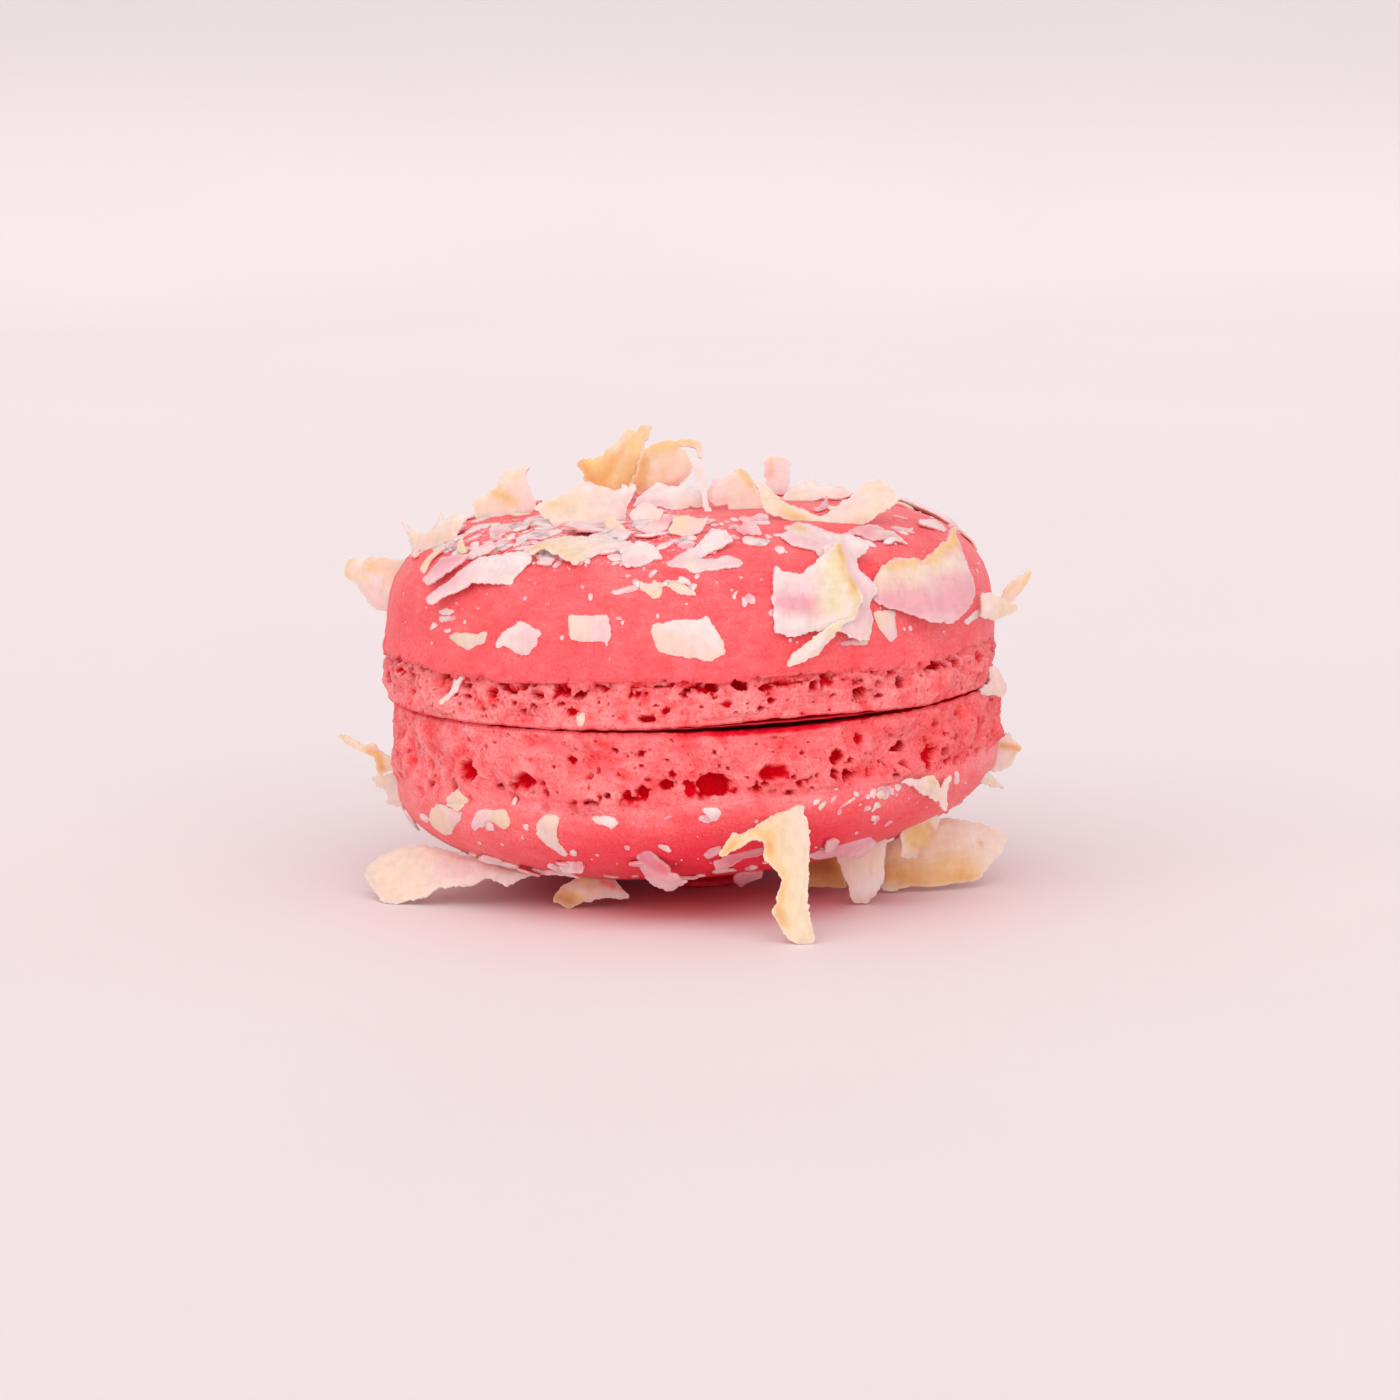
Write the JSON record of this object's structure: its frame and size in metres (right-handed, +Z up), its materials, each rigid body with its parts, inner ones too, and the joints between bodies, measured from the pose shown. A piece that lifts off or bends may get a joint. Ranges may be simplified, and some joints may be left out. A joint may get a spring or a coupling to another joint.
{
  "type": "french macaron",
  "caption": "Two pink almond meringue shells with craggy feet over a thin raspberry filling, with toasted coconut chips on both crowns and under it.",
  "frame": {"origin": "on the table plane, under the common axis of the two shells, on the underside of the thick coconut chip that carries the lower crown", "axes": "+Z up, along the shells' common axis; -Y towards the front, the side that the picture shows; +X to the right as seen from the front"},
  "size_m": [0.0516, 0.0486, 0.0334],
  "materials": {
    "meringue": "coral pink almond meringue: a smooth satin skin over a porous matte foot",
    "filling": "raspberry jam, moist",
    "coconut": "dried coconut chip, creamy white, tinted pink by the crown",
    "toasted_coconut": "dried coconut chip, toasted golden"
  },
  "bodies": {
    "root": {"chip_back_low": "coconut", "chip_back_stub": "coconut", "chip_big_pink": "coconut", "chip_big_white": "coconut", "chip_boat": "coconut", "chip_far_floor_1": "coconut", "chip_far_floor_2": "coconut", "chip_far_floor_3": "coconut", "chip_far_floor_4": "coconut", "chip_far_lower_1": "coconut", "chip_far_lower_2": "coconut", "chip_far_lower_3": "coconut", "chip_far_upper_1": "coconut", "chip_far_upper_2": "coconut", "chip_far_upper_3": "coconut", "chip_far_upper_4": "coconut", "chip_far_upper_5": "coconut", "chip_far_upper_6": "coconut", "chip_floor_inner": "toasted_coconut", "chip_floor_left": "coconut", "chip_floor_right": "toasted_coconut", "chip_floor_toast": "toasted_coconut", "chip_floor_tooth": "toasted_coconut", "chip_front_fork": "coconut", "chip_front_long": "coconut", "chip_front_quad": "coconut", "chip_hanging_pink": "coconut", "chip_hanging_strip": "coconut", "chip_leaning": "coconut", "chip_left_curl": "toasted_coconut", "chip_left_fan": "coconut", "chip_left_long": "coconut", "chip_left_pale": "coconut", "chip_left_second": "coconut", "chip_left_twig": "toasted_coconut", "chip_pad": "coconut", "chip_peak_left": "toasted_coconut", "chip_peak_right": "toasted_coconut", "chip_peak_strand": "coconut", "chip_pink_band": "coconut", "chip_pink_flat": "coconut", "chip_right_corner": "coconut", "chip_right_curl": "toasted_coconut", "chip_right_flat": "coconut", "chip_right_hook": "coconut", "chip_right_pale": "coconut", "chip_right_tab": "toasted_coconut", "chip_right_toast": "toasted_coconut", "chip_right_under": "coconut", "chip_right_wing": "coconut", "chip_seam_tooth": "coconut", "chip_top_fan": "coconut", "chip_top_left_fin": "coconut", "chip_top_pale": "coconut", "chip_top_sheet": "coconut", "chip_white_tail": "coconut", "filling": "filling", "lower_shell": "meringue", "upper_shell": "meringue"}
  },
  "joints": []
}
